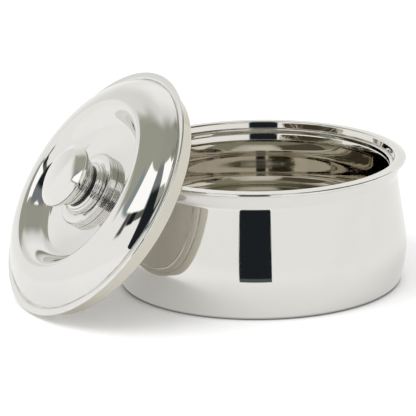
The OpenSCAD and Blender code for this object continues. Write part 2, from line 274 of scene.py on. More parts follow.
def on_lid(piece, *nodes):
    piece.data.transform(lid_lean)
    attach(piece, "lid")
    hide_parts(*nodes)
    return piece


# %% [markdown]
# ## The pot's outer wall
# One drawn sheet: a flat bottom with a round corner, a full belly, and a nearly straight
# wall that leans in to the neck, where it turns quickly and flares out under the lip. That
# quick turn is what cuts the dark reflections on the wall off so sharply at the top. The
# bottom has a pressed well for the plug of the foam filling hole. A hole can't be turned,
# so the bottom's middle is plain here and the well is cut in the next cell with a boolean.

# %% Outer wall
def toward(point, angle, length):
    """A point further on, at an angle from upright that is positive outward."""
    return (point[0] + length * math.sin(angle), point[1] + length * math.cos(angle))


corner_turn = math.radians(20)
corner_top = (base_r + base_corner * math.cos(corner_turn), base_corner * (1 - math.sin(corner_turn)))
pull = (belly_z - corner_top[1]) * 0.34
span = neck_z - belly_z
under_roll = bead_z - wall / 2
turn_pull = turn_h * 0.36
belly, neck, turn_top = (belly_r, belly_z), (neck_r, neck_z), (neck_r + 0.25, neck_z + turn_h)
outer_path = chain(
    [(0, 0), (30, 0), (60, 0), (90, 0), (base_r, 0)],
    arc((base_r, base_corner), base_corner, -90, -20, 12),
    curve(corner_top, toward(corner_top, corner_turn, pull), (belly_r, belly_z - pull), belly, 22),
    curve(belly, (belly_r, belly_z + span * 0.18), toward(neck, -neck_lean, -span * 0.28), neck, 40),
    curve(neck, toward(neck, -neck_lean, turn_pull), toward(turn_top, flare, -turn_pull), turn_top, 12),
    curve(turn_top, toward(turn_top, flare, (under_roll - turn_top[1]) * 0.52),
          (lip_r - bead_r - 1.5, under_roll - 0.1), (lip_r - bead_r - 0.3, under_roll), 24))
outer_wall = turned("outer_wall", sheet_outline(outer_path, wall))
print("outer wall:", len(outer_path), "points along the sheet")

# %% [markdown]
# The filling well is a shallow pressed cup. A boolean with a turned cutter keeps its
# floor and its round edge exact; drawing the well by moving vertices would need a far
# finer bottom.

# %% Filling well and its plug
plug_x, well_r, well_depth = 40.0, 10.0, 2.0
well = turned("filling_well", [(0, -1), (well_r + 0.8, -1), (well_r + 0.8, 0)]
              + curve((well_r + 0.8, 0), (well_r + 0.2, 0), (well_r, 0.2), (well_r, 0.9), 6)
              + [(well_r, well_depth), (0, well_depth)], around=small_sides)
well_skin = turned("well_skin", sheet_outline(
    [(5.0, well_depth), (well_r - 0.6, well_depth)]
    + curve((well_r - 0.6, well_depth), (well_r - 0.1, well_depth), (well_r, well_depth - 0.1),
            (well_r, well_depth - 0.6), 5)
    + [(well_r, 0.5), (well_r + 0.02, 0.12)], wall), around=small_sides)
for part in (well, well_skin):
    part.matrix_world = Matrix.Translation((plug_x * MM, 0, 0))
cut = outer_wall.modifiers.new("well", "BOOLEAN")
cut.object, cut.operation, cut.solver = well, "DIFFERENCE", "EXACT"
bpy.context.view_layer.update()
flat = bpy.data.meshes.new_from_object(outer_wall.evaluated_get(bpy.context.evaluated_depsgraph_get()))
outer_wall.modifiers.clear()
outer_wall.data = flat
bpy.data.objects.remove(well)
on_pot(outer_wall, "outer_shell")
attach(well_skin, "pot")

fill_plug = turned("fill_plug_cap", soften(
    [(0, 1.15), (2.6, 1.15), (2.9, 0.8), (7.0, 0.75), (9.0, 0.78), (9.0, 1.95), (5, 1.95),
     (4.9, 2.7), (5.5, 2.8), (4.4, 6.5), (0, 6.5)], 0.25, 4), around=small_sides, closed=False)
fill_plug.matrix_world = Matrix.Translation((plug_x * MM, 0, 0))
on_pot(fill_plug, "fill_plug")
print("outer wall after the cut:", len(outer_wall.data.polygons), "faces")

# %% [markdown]
# ## The bowl
# The bowl is spun from one sheet, and its mouth is the busiest outline on the pot. From
# the bottom up: a wide round corner, a nearly straight wall, a collar that stands in from
# the wall, a small step, the ledge that carries the lid's rim, the wall of the recess,
# and a lip that is curled outward and rolled round the outer wall's edge. The collar and
# the recess open by a few degrees, as drawn sheet must to leave its tool. It matters here:
# straight walls would mirror the bowl's own dark side, and these mirror the bright room.

# %% Bowl and rolled lip
wall_z = floor_z + bowl_corner
bowl_floor_r = bowl_low_r - bowl_corner
crest = (lip_r - crest_in, pot_h)
step_z = ledge_z - (ledge_z - collar_z) * 0.48
throat, recess_top = (throat_r + 0.15, ledge_z - 1.5), (recess_r + 0.4, pot_h - 1.9)
mouth = chain(
    soften([(bowl_r, collar_z - 7), (bowl_r, collar_z - 2.2), (collar_r - 0.65, collar_z - 0.4),
            (collar_r + 0.3, step_z - 0.2), (throat_r + 0.3, step_z + 0.5), throat], 0.55, 7),
    soften([throat, (throat_r + 0.1, ledge_z), (recess_r - 0.45, ledge_z), recess_top], 0.9, 9))
bowl_path = chain(
    [(0, floor_z), (20, floor_z), (40, floor_z), (bowl_floor_r, floor_z)],
    arc((bowl_floor_r, wall_z), bowl_corner, -90, 0, 40),
    curve((bowl_low_r, wall_z), (bowl_low_r, wall_z + 12), (bowl_r, collar_z - 17),
          (bowl_r, collar_z - 7), 20),
    mouth,
    curve(recess_top, (recess_r + 0.7, pot_h - 0.5), (crest[0] - 2.4, pot_h), crest, 16),
    curve(crest, (crest[0] + 1.4, pot_h), (lip_r - bead_r - 0.9, bead_z + bead_r + 0.12),
          (lip_r - bead_r, bead_z + bead_r), 8),
    arc((lip_r - bead_r, bead_z), bead_r, 90, -120, 22))
bowl = turned("bowl_and_lip", sheet_outline(bowl_path, -wall))
on_pot(bowl, "inner_bowl")
print("bowl:", len(bowl_path), "points along the sheet")

# %% [markdown]
# ## The lid's top
# Pressed from thinner sheet: a dish for the fingers, a steep inner wall, a full raised
# ring, and a pressed groove before the flat rim. The rim is hemmed over the edge of the
# sheet below it.

# %% Lid top
wall_run = crest_r - dish_r
deep = crest_h - dish_h
groove_r = flange_r - 5.3
lid_path = chain(
    [(stud_hole, dish_h), (15, dish_h), (foot_r + 1, dish_h)],
    curve((foot_r + 1, dish_h), (foot_r + 8, dish_h), (dish_r - 7, dish_h + 0.4),
          (dish_r, dish_h + 0.9), 14),
    curve((dish_r, dish_h + 0.9), (dish_r + wall_run * 0.46, dish_h + 0.9 + deep * 0.06),
          (crest_r - wall_run * 0.42, crest_h), (crest_r, crest_h), 44),
    curve((crest_r, crest_h), (crest_r + 9, crest_h),
          (groove_r - 5.6, flange_top + (crest_h - flange_top) * 0.62),
          (groove_r - 0.9, flange_top + 0.7), 46),
    soften([(groove_r - 0.9, flange_top + 0.7), (groove_r - 0.3, flange_top - 0.35),
            (groove_r + 0.5, flange_top - 0.1), (groove_r + 1.2, flange_top),
            (flange_r - hem / 2, flange_top)], 0.4, 6),
    arc((flange_r - hem / 2, flange_top - hem / 2), hem / 2, 90, -90, 16),
    [(flange_r - hem / 2 - 1.2, seat_h)])
lid_top = on_lid(turned("lid_top", sheet_outline(lid_path, -lid_wall)), "lid_top_shell")
print("lid top:", len(lid_path), "points along the sheet")

# %% [markdown]
# ## The lid's plug
# The underside is a second pressing. Its wall drops into the pot's collar. Its panel is
# pressed in by a few sheets' depth, and a groove is pressed round it, so that the lid
# doesn't drum. The groove is shallower than the sheet, as the foam lies right behind it.
# In the photograph the plug is seen only as a reflection in the pot's wall.

# %% Lid plug
pan_top = seat_h + lid_wall + 0.05
drum_in, drum_out, drum_deep = 74.8, 78.5, 0.45
pan_path = chain(
    [(0, panel_in), (25, panel_in), (50, panel_in), (panel_r, panel_in)],
    curve((panel_r, panel_in), (panel_r + 1.2, panel_in), (panel_r + 1.4, 0), (panel_r + 2.6, 0), 12),
    curve((drum_in, 0), (drum_in + 0.9, 0), (drum_in + 0.7, drum_deep), (drum_in + 1.6, drum_deep), 8),
    curve((drum_out - 1.6, drum_deep), (drum_out - 0.7, drum_deep), (drum_out - 0.9, 0), (drum_out, 0), 8),
    [(83, 0), (plug_r - plug_corner, 0)],
    arc((plug_r - plug_corner, plug_corner), plug_corner, -90, 0, 14),
    curve((plug_r, plug_corner), (plug_r + 0.2, 6), (plug_r + 0.4, 8), (plug_r + 0.6, pan_top - 1.6), 6),
    soften([(plug_r + 0.6, pan_top - 1.6), (plug_r + 0.9, pan_top), (flange_r - hem + 0.5, pan_top)], 0.8))
lid_plug = on_lid(turned("lid_plug", sheet_outline(pan_path, lid_wall)), "lid_inner_pan")
print("lid plug:", len(pan_path), "points along the sheet")

# %% [markdown]
# ## The knob
# Five turned pieces in a stack: a foot with fine grooves rolled round its edge, a ferrule
# in two steps, a black spacer that keeps the head cool, and a hollow head made of a cup
# and a cap. Each is its own mesh, so that the dark joints between them are real gaps.

# %% Knob foot
def ribbed(path, count, depth, narrow=5):
    """The path with fine rounded grooves rolled into it, on its left."""
    sunk, last = beside(path, depth), len(path) - 1
    waves = [(1 - math.cos(2 * math.pi * count * i / last)) / 2 for i in range(last + 1)]
    return [tuple(Vector(a).lerp(Vector(b), wave ** narrow)) for a, b, wave in zip(path, sunk, waves)]


seat_r = ferrule_r + 1.0
foot_round, foot_low = 1.9, dish_h + 1.2
foot_bend = (foot_r - foot_round, foot_top - foot_round)
foot_side = [(foot_r, foot_low + (foot_bend[1] - foot_low) * i / 60) for i in range(61)]
foot_path = chain(
    [(foot_r - 1.6, dish_h + 0.05)],
    curve((foot_r - 0.6, dish_h + 0.05), (foot_r - 0.1, dish_h + 0.1), (foot_r, dish_h + 0.5),
          (foot_r, foot_low), 5),
    ribbed(chain(foot_side, arc(foot_bend, foot_round, 0, 70, 44)), count=5, depth=0.12),
    arc(foot_bend, foot_round, 70, 90, 4),
    soften([(foot_r - foot_round, foot_top), (seat_r + 1.2, foot_top), (seat_r, foot_top - 0.6),
            (stud_hole, foot_top - 0.6)], 0.5, 5),
    [(stud_hole, foot_top - 1.4), (foot_r - 2.6, foot_top - 1.4), (foot_r - 2.4, foot_top - 2.6)])
knob_foot = on_lid(turned("knob_foot_ring", foot_path, around=knob_sides), "knob_foot")
print("knob foot:", len(foot_path), "points along its outline")

# %% Knob ferrule and spacer
waist = spacer_r + 0.7
half = (ferrule_top - foot_top) / 2
ferrule_path = chain(
    [(ferrule_r - 0.3, foot_top - 0.55)],
    curve((ferrule_r - 0.1, foot_top - 0.3), (ferrule_r + 0.35, foot_top + 0.4),
          (ferrule_r + 0.1, foot_top + half - 0.3), (ferrule_r - 0.9, foot_top + half), 12),
    curve((ferrule_r - 1.15, foot_top + half + 0.05), (ferrule_r - 0.9, ferrule_top - half * 0.5),
          (waist + 0.8, ferrule_top), (waist - 0.4, ferrule_top), 12),
    [(stud_hole, ferrule_top), (stud_hole, ferrule_top - 0.8), (waist - 1.4, ferrule_top - 0.8),
     (ferrule_r - 2.2, foot_top - 0.55)])
knob_ferrule = on_lid(turned("knob_ferrule_ring", ferrule_path, around=knob_sides), "knob_ferrule")

core_r = spacer_r - 2.6
spacer_path = soften([(2.5, ferrule_top + 0.05), (spacer_r, ferrule_top + 0.05),
                      (spacer_r, spacer_top - 0.05), (core_r, spacer_top - 0.05),
                      (core_r, spacer_top + 9), (2.5, spacer_top + 9)], 0.3, 4)
knob_spacer = on_lid(turned("knob_spacer_ring", spacer_path, around=knob_sides), "knob_spacer")
print("ferrule and spacer:", len(ferrule_path), len(spacer_path), "points")

# %% [markdown]
# The head is drawn as two sheets. The cup swells from the spacer to a crease and then
# flares to the rim. The cap has a slightly domed face inside a sloping shoulder: the dome
# is why the face mirrors the wall on one side and the dark corner on the other, and the
# slope of the shoulder is read from the window that it mirrors whole.

# %% Knob head
cup_low_r, head_h = spacer_r + 0.3, head_top - spacer_top
crease_r, crease_h = head_r * 0.775, spacer_top + head_h * 0.245
cup_path = chain(
    [(core_r + 0.05, spacer_top), (cup_low_r - 0.7, spacer_top)],
    curve((cup_low_r - 0.7, spacer_top), (cup_low_r - 0.1, spacer_top), (cup_low_r, spacer_top + 0.2),
          (cup_low_r + 0.1, spacer_top + 0.7), 5),
    curve((cup_low_r + 0.1, spacer_top + 0.7), (cup_low_r + 0.8, spacer_top + 1.4),
          (crease_r + 0.2, crease_h - 2), (crease_r, crease_h - 0.35), 16),
    soften([(crease_r, crease_h - 0.35), (crease_r - 0.12, crease_h), (crease_r + 0.08, crease_h + 0.4)],
           0.3, 4),
    curve((crease_r + 0.08, crease_h + 0.4), (crease_r + 1, crease_h + 2.6),
          (head_r, cap_h - 3.6), (head_r, cap_h), 26))
knob_cup = turned("knob_head_cup", sheet_outline(cup_path, head_wall), around=knob_sides)
on_lid(knob_cup, "knob_cup")

face_r, dome = head_r * 0.785, 1.2
face_z = head_top - dome
cap_edge = (head_r - 0.35, cap_h + 0.6)
face_path = curve((0, head_top), (face_r / 3, head_top), (face_r * 2 / 3, head_top - dome / 3),
                  (face_r, face_z), 20)
shoulder_path = curve((face_r, face_z), (face_r + 1.6, face_z - 0.88),
                      (cap_edge[0] - 1.5, cap_edge[1] + 1.0), cap_edge, 14)
cap_path = chain(
    face_path[:-1], shoulder_path[1:],
    curve(cap_edge, (cap_edge[0] + 0.25, cap_edge[1] - 0.16), (head_r, cap_h + 0.5),
          (head_r, cap_h + 0.05), 8))
knob_cap = turned("knob_head_cap", sheet_outline(cap_path, -head_wall), around=knob_sides)
on_lid(knob_cap, "knob_cap")
print("cup and cap:", len(cup_path), len(cap_path), "points")

# %% [markdown]
# ## Wiring helpers
# A finish is a small machine of nodes. Written out socket by socket, its idea gets lost,
# so one helper adds a node with its inputs, and the others are names for what is asked of
# it most: a sum, a soft step, a cloud of noise and a mix of two colours.

# %% Node helpers
def add(tree, kind, inputs=None, **settings):
    """One node, with inputs given by name or number, as values or as sockets."""
    node = tree.nodes.new("ShaderNode" + kind)
    for key, value in settings.items():
        setattr(node, key, value)
    for key, value in (inputs or {}).items():
        if isinstance(value, bpy.types.NodeSocket):
            tree.links.new(value, node.inputs[key])
        else:
            node.inputs[key].default_value = value
    return node


def calc(tree, operation, *values):
    return add(tree, "Math", dict(enumerate(values)), operation=operation).outputs[0]


def step(tree, value, start, end, low=0.0, high=1.0):
    """A soft step from low to high as the value goes from start to end."""
    return add(tree, "MapRange", {"Value": value, "From Min": start, "From Max": end,
                                  "To Min": low, "To Max": high},
               interpolation_type="SMOOTHSTEP").outputs["Result"]


def cloud(tree, where, scale, detail=2.0, twist=0.0):
    return add(tree, "TexNoise", {"Vector": where, "Scale": scale, "Detail": detail,
                                  "Distortion": twist}).outputs["Fac"]


def blend(tree, amount, low, high):
    """Two colours mixed by an amount. Each is a colour or a socket."""
    return add(tree, "Mix", {0: amount, 6: low, 7: high}, data_type="RGBA").outputs[2]


def shade(*linear):
    return (*linear, 1.0)


print("node helpers:", [helper.__name__ for helper in (add, calc, step, cloud, blend, shade)])

# %% Group and material helpers
def new_group(name, takes, gives):
    """A node group with named number inputs and outputs."""
    tree = bpy.data.node_groups.new(name, "ShaderNodeTree")
    for label, default in takes.items():
        taken = tree.interface.new_socket(label, in_out="INPUT", socket_type="NodeSocketFloat")
        taken.default_value = default
    for label in gives:
        tree.interface.new_socket(label, in_out="OUTPUT", socket_type="NodeSocketFloat")
    return tree, tree.nodes.new("NodeGroupInput").outputs, tree.nodes.new("NodeGroupOutput").inputs


def use(tree, group, **values):
    """Places a group. An underscore in a given name stands for a space."""
    node = tree.nodes.new("ShaderNodeGroup")
    node.node_tree = group
    for key, value in values.items():
        node.inputs[key.replace("_", " ")].default_value = value
    return node.outputs


def new_material(name, **plain):
    """A material with a Principled shader and its plain values set on the shader itself."""
    material = bpy.data.materials.new(name)
    material.use_nodes = True
    shader = material.node_tree.nodes["Principled BSDF"]
    for key, value in plain.items():
        shader.inputs[key.replace("_", " ")].default_value = value
    return material, material.node_tree, shader.inputs


print("group and material helpers:", [helper.__name__ for helper in (new_group, use, new_material)])

# %% [markdown]
# ## Marks of the polishing wheel
# The sheet is polished while it spins, so the wheel leaves fine rings round the axis.
# They are too fine to model. The mesh already says how far along the sheet each point
# lies, so a noise in that one direction draws rings on any turned piece, whichever way its
# surface faces. A wave texture would make them too even. A second, slow noise lets the
# rings wander and fade in and out, because the wheel never presses the same everywhere.

# %% Group: polishing rings
polishing_rings, given, made = new_group(
    "polishing_rings", {"Lines per mm": 2.5, "Patch": 28.0, "Wander": 1.2}, ["Height", "Streak"])
tree = polishing_rings
run = add(tree, "Attribute", attribute_name="along").outputs["Fac"]
spot = add(tree, "TexCoord").outputs["Object"]
drift = calc(tree, "MULTIPLY", cloud(tree, spot, 7.0, 1.0), given["Wander"])
count = calc(tree, "MULTIPLY", calc(tree, "ADD", run, drift), given["Lines per mm"])
line = add(tree, "TexNoise", {"W": count, "Scale": 1.0, "Detail": 3.0},
           noise_dimensions="1D").outputs["Fac"]
broad = add(tree, "TexNoise", {"W": calc(tree, "MULTIPLY", count, 0.17), "Scale": 1.0, "Detail": 2.0},
            noise_dimensions="1D").outputs["Fac"]
pressed = step(tree, cloud(tree, spot, given["Patch"], 2.0), 0.4, 0.62)
tree.links.new(calc(tree, "MULTIPLY", calc(tree, "SUBTRACT", line, 0.5), pressed), made["Height"])
tree.links.new(calc(tree, "MULTIPLY", step(tree, broad, 0.48, 0.7), pressed), made["Streak"])
print("polishing rings:", len(tree.nodes), "nodes")

# %% [markdown]
# ## Wipe marks and hairlines
# A clean pan still has a little haze where a cloth dried on it, and hairline scratches
# from being stacked and wiped. Haze is a twisted noise. A hairline is what is left of a
# noise that is stretched a hundred times in one direction and cut off near its top; three
# directions together look like chance. Painted scratches would look as good, but a
# painted image can't be a procedural material.

# %% Group: wipe marks
wipe_marks, given, made = new_group("wipe_marks", {"Size": 16.0, "Twist": 0.8}, ["Haze"])
tree = wipe_marks
spot = add(tree, "TexCoord").outputs["Object"]
cloth = cloud(tree, spot, given["Size"], 4.0, given["Twist"])
tree.links.new(step(tree, cloth, 0.46, 0.7), made["Haze"])
print("wipe marks:", len(tree.nodes), "nodes")

# %% Group: hairline scratches
hairlines, given, made = new_group("hairline_scratches", {"Fineness": 1400.0, "Share": 0.3},
                                   ["Mask", "Height"])
tree = hairlines
spot = add(tree, "TexCoord").outputs["Object"]
scratch = 0.0
for angles in ((0.4, 0.9, 0.2), (1.3, -0.5, 1.1), (-0.7, 0.3, 2.2)):
    lie = add(tree, "Mapping", {"Vector": spot, "Rotation": angles, "Scale": (0.012, 1.0, 1.0)}).outputs[0]
    hair = step(tree, cloud(tree, lie, given["Fineness"], 1.0), 0.7, 0.76)
    scratch = calc(tree, "MAXIMUM", hair, scratch)
worn_area = step(tree, cloud(tree, spot, 22.0, 2.0), calc(tree, "SUBTRACT", 0.72, given["Share"]), 0.74)
scratch = calc(tree, "MULTIPLY", scratch, worn_area)
tree.links.new(scratch, made["Mask"])
tree.links.new(calc(tree, "MULTIPLY", scratch, -1.0), made["Height"])
print("hairlines:", len(tree.nodes), "nodes")

# %% [markdown]
# ## Worn edges, and dirt with painted shade in the creases
# Hands and shelves reach the edges first, and polishing paste stays where a cloth can't
# reach. The creases are also darkened in colour as painted shade, where less light falls.
# Both follow the outline, so the two bends that were stored while turning are all
# that these groups need. Pointiness would find the edges too, but it depends on how fine
# the mesh is.

# %% Groups: edge wear, and crease dirt with painted shade
def bend_mask(name, attribute, breakup, start, full, patches):
    """A group that finds where the outline bends, from start to full, and breaks it up."""
    tree, given, made = new_group(name, {"Breakup": breakup, "Start": start}, ["Mask"])
    bend = add(tree, "Attribute", attribute_name=attribute).outputs["Fac"]
    spot = add(tree, "TexCoord").outputs["Object"]
    patchy = step(tree, cloud(tree, spot, given["Breakup"], 3.0), *patches)
    tree.links.new(calc(tree, "MULTIPLY", step(tree, bend, given["Start"], full), patchy), made["Mask"])
    return tree


edge_wear = bend_mask("edge_wear", "edge", breakup=160.0, start=0.12, full=0.9, patches=(0.36, 0.62))
# creases: polishing paste left in them, and painted shade where less light falls
crease_dirt_and_shade = bend_mask("crease_dirt_and_shade", "crease", breakup=90.0, start=0.25, full=1.0, patches=(0.3, 0.6))
print("groups:", sorted(group.name for group in bpy.data.node_groups))

# %% [markdown]
# ## Polished steel
# Every shining piece is the same alloy with a different history. The wall and the lid are
# buffed to a mirror, the bowl is only bright, and the knob is turned in a lathe, which
# leaves closer rings. One function makes them all from a handful of numbers. The colour is
# stainless steel's own, a little warm, and the finish is in the roughness and in
# two very small bumps: the slow waves of a pressed sheet and the rings of the wheel.
# Painted shade darkens that colour in three places: in the creases, along with dirt;
# below the bowl's collar, where the colour is painted darker and browner; and over the
# whole of the lid's plug, which faces down into the gap between lid and pot.
# As the bowl's walls mirror each other again and again, the small painted difference below
# the collar adds up.

# %% Polished steel
worn_tint = shade(0.86, 0.855, 0.84)
# the colour of the creases: dirt, and painted shade
dirt_and_shade_tint = shade(0.16, 0.15, 0.13)
# painted shade: the bowl's colour below its collar, darker and browner
bowl_depth_shade_tint = shade(0.68, 0.65, 0.585)


def polished_steel(name, tint, gloss, haze, lines, ring_depth, wave_depth, wear, scratched,
                   shade_below=None):
    """gloss is the roughness of the clean mirror. The depths, and the height below which the colour is
    painted darker as shade, are in metres.
    """
    material, tree, shader = new_material(name, Metallic=1.0)
    marks = use(tree, polishing_rings, Lines_per_mm=lines)
    wiped = use(tree, wipe_marks)["Haze"]
    scratch = use(tree, hairlines, Share=scratched)
    worn = calc(tree, "MULTIPLY", use(tree, edge_wear)["Mask"], wear)
    dirt_and_shade = use(tree, crease_dirt_and_shade)["Mask"]
    rough = calc(tree, "MULTIPLY_ADD", marks["Streak"], haze * 0.7, gloss)
    rough = calc(tree, "MULTIPLY_ADD", wiped, haze, rough)
    rough = calc(tree, "MULTIPLY_ADD", scratch["Mask"], 0.12, rough)
    rough = calc(tree, "MULTIPLY_ADD", worn, 0.14, rough)
    tree.links.new(calc(tree, "MULTIPLY_ADD", dirt_and_shade, 0.3, rough), shader["Roughness"])
    colour = blend(tree, worn, blend(tree, wiped, tint, shade(*[c * 0.975 for c in tint[:3]])), worn_tint)
    spot = add(tree, "TexCoord").outputs["Object"]
    # below the collar the colour is painted darker and browner: painted shade deep in the bowl
    if shade_below:
        level = add(tree, "SeparateXYZ", {"Vector": spot}).outputs["Z"]
        above_shade = step(tree, level, shade_below - 0.003, shade_below + 0.001)
        colour = blend(tree, above_shade, bowl_depth_shade_tint, colour)
    # creases darkened in colour: partly polishing paste, partly painted shade
    colour = blend(tree, calc(tree, "MULTIPLY", dirt_and_shade, 0.7), colour, dirt_and_shade_tint)
    tree.links.new(colour, shader["Base Color"])
    waves = add(tree, "Bump", {"Height": cloud(tree, spot, 30.0, 1.0), "Distance": wave_depth})
    height = calc(tree, "MULTIPLY_ADD", scratch["Height"], 0.6, marks["Height"])
    rings = add(tree, "Bump", {"Height": height, "Distance": ring_depth, "Normal": waves.outputs[0]})
    tree.links.new(rings.outputs[0], shader["Normal"])
    return material


wall_polish = polished_steel(
    "wall_polish", shade(0.76, 0.747, 0.717), gloss=0.02, haze=0.03, lines=2.2,
    ring_depth=1.5e-7, wave_depth=4e-6, wear=0.6, scratched=0.22)
# the bowl's colour below its collar is painted darker, as shade
bowl_polish = polished_steel(
    "bowl_polish", shade(0.75, 0.732, 0.69), gloss=0.018, haze=0.03, lines=2.6,
    ring_depth=2e-7, wave_depth=5e-6, wear=0.6, scratched=0.28, shade_below=collar_z * MM)
lid_polish = polished_steel(
    "lid_polish", shade(0.775, 0.766, 0.74), gloss=0.02, haze=0.03, lines=2.4,
    ring_depth=1.5e-7, wave_depth=4e-6, wear=0.6, scratched=0.26)
# the plug's colour is painted darker and browner than the lid's: painted shade, as it faces down into the
# gap between lid and pot
plug_shaded_polish = polished_steel(
    "lid_plug_shaded_polish", shade(0.64, 0.61, 0.53), gloss=0.035, haze=0.05, lines=2.0,
    ring_depth=5e-7, wave_depth=1e-5, wear=0.7, scratched=0.34)
knob_polish = polished_steel(
    "knob_polish", shade(0.8, 0.79, 0.765), gloss=0.012, haze=0.02, lines=3.0,
    ring_depth=4e-8, wave_depth=1e-6, wear=0.8, scratched=0.2)
print("steels:", [m.name for m in bpy.data.materials if "polish" in m.name])

# %% [markdown]
# ## Foam, mouldings and fasteners
# These hardly show, but each has a finish of its own. The foam is poured in through
# the hole in the bottom and sets with open cells where it was cut and a darker skin where
# it met the steel. The spacer is a hard black moulding, the filling plug a soft one. The
# fasteners are zinc plated.

# %% Foam
foam, tree, shader = new_material("poured_foam")
spot = add(tree, "TexCoord").outputs["Object"]
cells = add(tree, "TexVoronoi", {"Vector": spot, "Scale": 620.0})
skin = step(tree, cloud(tree, spot, 38.0, 4.0, 0.5), 0.42, 0.6)
cell_shade = step(tree, cells.outputs["Distance"], 0.1, 0.75)
tint = blend(tree, cell_shade, shade(0.88, 0.76, 0.47), shade(0.70, 0.55, 0.27))
tint = blend(tree, calc(tree, "MULTIPLY", skin, 0.6), tint, shade(0.74, 0.57, 0.25))
tree.links.new(tint, shader["Base Color"])
tree.links.new(step(tree, skin, 0.0, 1.0, 0.92, 0.62), shader["Roughness"])
pits = calc(tree, "MULTIPLY", cells.outputs["Distance"], calc(tree, "SUBTRACT", 1.15, skin))
swell = add(tree, "Bump", {"Height": cloud(tree, spot, 60.0, 3.0), "Distance": 0.0015})
pitted = add(tree, "Bump", {"Height": pits, "Distance": -0.0006, "Normal": swell.outputs[0]})
tree.links.new(pitted.outputs[0], shader["Normal"])
print("foam:", len(tree.nodes), "nodes")

# %% Mouldings
def moulding(name, tint, scuff_tint, smoothest, roughest, grain, grain_depth):
    """A moulded plastic: fine grain, uneven gloss, and paler worn edges and scuffs."""
    material, tree, shader = new_material(name)
    spot = add(tree, "TexCoord").outputs["Object"]
    worn = use(tree, edge_wear, Breakup=260.0)["Mask"]
    scuff = calc(tree, "MAXIMUM", worn, use(tree, hairlines, Fineness=900.0, Share=0.34)["Mask"])
    tree.links.new(blend(tree, calc(tree, "MULTIPLY", scuff, 0.7), tint, scuff_tint), shader["Base Color"])
    rough = step(tree, cloud(tree, spot, 70.0, 3.0), 0.35, 0.65, smoothest, roughest)
    tree.links.new(rough, shader["Roughness"])
    bump = add(tree, "Bump", {"Height": cloud(tree, spot, grain, 2.0), "Distance": grain_depth})
    tree.links.new(bump.outputs[0], shader["Normal"])
    return material


spacer_black = moulding("spacer_black", shade(0.012, 0.012, 0.013), shade(0.07, 0.07, 0.07),
                        smoothest=0.16, roughest=0.34, grain=1500.0, grain_depth=8e-6)
plug_black = moulding("plug_black", shade(0.03, 0.03, 0.032), shade(0.12, 0.12, 0.12),
                      smoothest=0.42, roughest=0.62, grain=1100.0, grain_depth=4e-5)
print("mouldings:", spacer_black.name, plug_black.name)

# %% Fasteners
thread_pitch = 0.8  # millimetres


def zinc_plated(name, thread=False):
    """Bright zinc with the cloudy spangle of plating. A stud also gets the bump of its thread."""
    material, tree, shader = new_material(name, Metallic=1.0)
    spot = add(tree, "TexCoord").outputs["Object"]
    spangle = add(tree, "TexVoronoi", {"Vector": spot, "Scale": 900.0})
    cloudy = step(tree, cloud(tree, spot, 260.0, 3.0), 0.38, 0.64)
    tint = blend(tree, cloudy, shade(0.70, 0.71, 0.72), shade(0.55, 0.555, 0.55))
    tree.links.new(tint, shader["Base Color"])
    grit = add(tree, "SeparateColor", {"Color": spangle.outputs["Color"]}).outputs[0]
    rough = calc(tree, "MULTIPLY_ADD", grit, 0.14, step(tree, cloudy, 0, 1, 0.22, 0.36))
    tree.links.new(rough, shader["Roughness"])
    height, depth = grit, 6e-6
    if thread:
        lid_axis = lid_lean.to_3x3() @ Vector((0, 0, 1))
        climb = add(tree, "VectorMath", {0: spot, 1: tuple(lid_axis)}, operation="DOT_PRODUCT")
        turns = calc(tree, "MULTIPLY", climb.outputs["Value"], 2 * math.pi / (thread_pitch * MM))
        height, depth = calc(tree, "SINE", turns), 2.0e-4
    tree.links.new(add(tree, "Bump", {"Height": height, "Distance": depth}).outputs[0], shader["Normal"])
    return material


zinc = zinc_plated("zinc_plate")
zinc_thread = zinc_plated("zinc_thread", thread=True)
print("materials:", len(bpy.data.materials))

# %% [markdown]
# ## Dressing the pieces
# Each new piece gets its material. The foam and
# the fasteners come from the CAD model as they are, and only get a better material.

# %% Dress
def dress(piece, material):
    if piece.material_slots:
        for place in piece.material_slots:
            place.material = material
    else:
        piece.data.materials.append(material)


for piece, material, slot in (
        (outer_wall, wall_polish, "pot_steel"), (well_skin, wall_polish, "pot_steel"),
        (fill_plug, plug_black, "plug_plastic"), (bowl, bowl_polish, "bowl_steel"),
        (lid_top, lid_polish, "lid_steel"), (lid_plug, plug_shaded_polish, "bowl_steel"),
        (knob_foot, knob_polish, "knob_steel"), (knob_ferrule, knob_polish, "knob_steel"),
        (knob_spacer, spacer_black, "spacer_plastic"), (knob_cup, knob_polish, "knob_steel"),
        (knob_cap, knob_polish, "knob_steel")):
    dress(piece, material)
for node, material in (("body_insulation", foam), ("lid_insulation", foam), ("knob_stud", zinc_thread),
                       ("knob_washer", zinc), ("knob_nut", zinc)):
    dress(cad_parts[node], material)

# %% [markdown]
# ## The studio
# Mirror steel has hardly any look of its own: it shows the room. The photograph's steel
# says what that room was. There is white paper all round at table height, a dark gap that
# the camera looks through, a bright window on each side of it, and a dull ceiling.
# Real cards on stands could be modelled, and a photographed panorama is the usual way.
# Here the far room is painted into the world by direction, because the steel is the only
# thing that sees it: light on everything else stays even and plain.

# %% Group: one card of the studio
studio_card, given, made = new_group(
    "studio_card", {"Azimuth": 0.0, "Elevation": 0.0, "Left": -10.0, "Right": 10.0,
                    "Low": 0.0, "High": 10.0, "Soft across": 1.0, "Soft up": 1.0}, ["Mask"])
tree = studio_card
mask = 1.0
for value, low, high, soft in (("Azimuth", "Left", "Right", "Soft across"),
                               ("Elevation", "Low", "High", "Soft up")):
    for side, sign in ((low, 1.0), (high, -1.0)):
        inside = calc(tree, "MULTIPLY", calc(tree, "SUBTRACT", given[value], given[side]), sign)
        inside = calc(tree, "DIVIDE", inside, given[soft])
        mask = calc(tree, "MULTIPLY", step(tree, inside, -0.5, 0.5), mask)
tree.links.new(mask, made["Mask"])
print("one card:", len(tree.nodes), "nodes")

